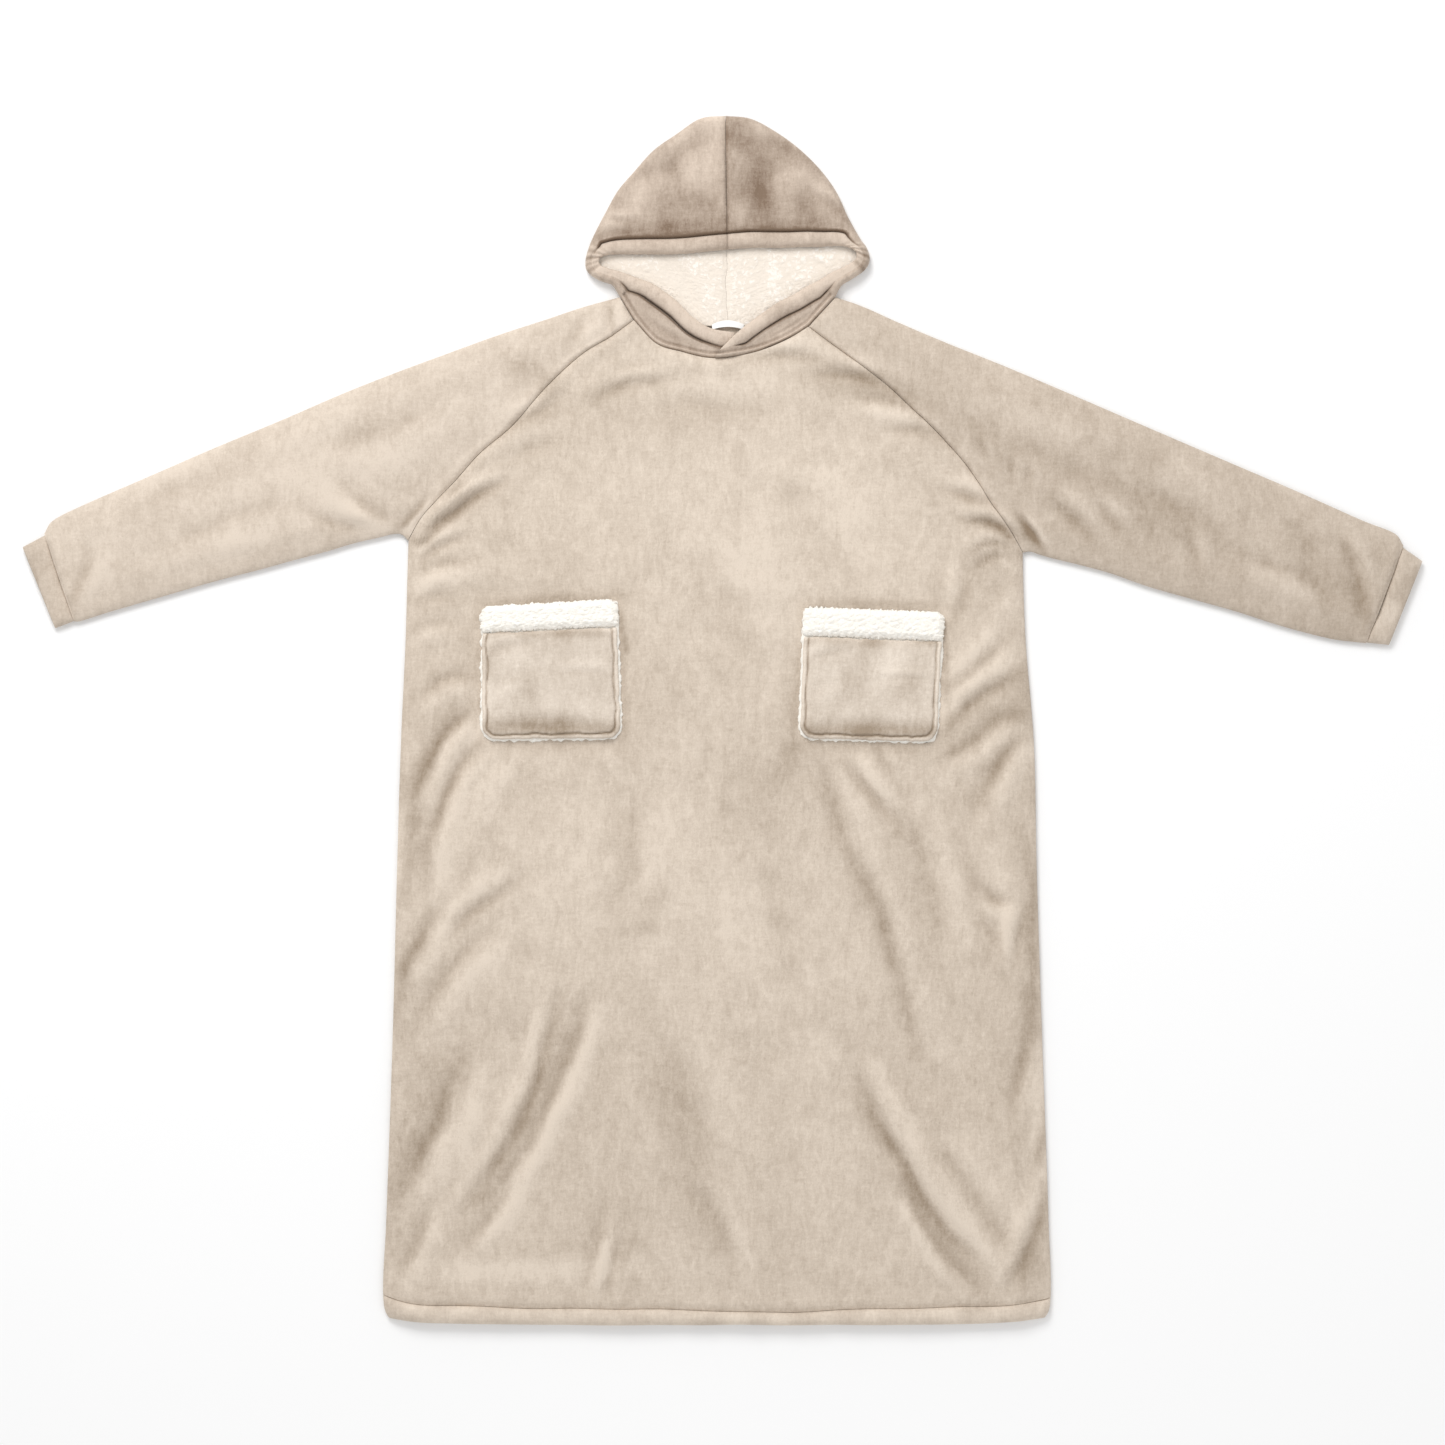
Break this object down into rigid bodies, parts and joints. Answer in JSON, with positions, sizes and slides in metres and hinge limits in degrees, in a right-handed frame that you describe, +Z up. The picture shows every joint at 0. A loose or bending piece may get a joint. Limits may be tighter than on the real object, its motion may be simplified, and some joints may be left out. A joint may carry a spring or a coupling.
{
  "type": "wearable blanket hoodie",
  "caption": "Knee-length plush hoodie with raglan sleeves, patch pockets and a sherpa-lined hood, laid flat on a surface.",
  "frame": {"origin": "on the surface the garment lies on, under the middle of its whole outline", "axes": "+X towards the wearer's left cuff, +Y towards the hood, +Z up off the surface, out of the garment's front"},
  "size_m": [1.502, 1.2965, 0.0198],
  "materials": {
    "flannel": "plush oatmeal flannel with a brushed velvety nap",
    "sherpa": "cream curly sherpa pile",
    "label_tape": "smooth white woven tape, blank"
  },
  "bodies": {
    "root": {"back_panel": "flannel", "front_panel": "flannel", "hem_band": "flannel", "sleeve_right": "flannel", "sleeve_left": "flannel", "cuff_right": "flannel", "cuff_left": "flannel", "hood_right": "flannel", "hood_left": "flannel", "hood_lining_right": "sherpa", "hood_lining_left": "sherpa", "pocket_right": "flannel", "pocket_left": "flannel", "pocket_lining_right": "sherpa", "pocket_lining_left": "sherpa", "pocket_band_right": "sherpa", "pocket_band_left": "sherpa", "neck_label": "label_tape"}
  },
  "joints": []
}
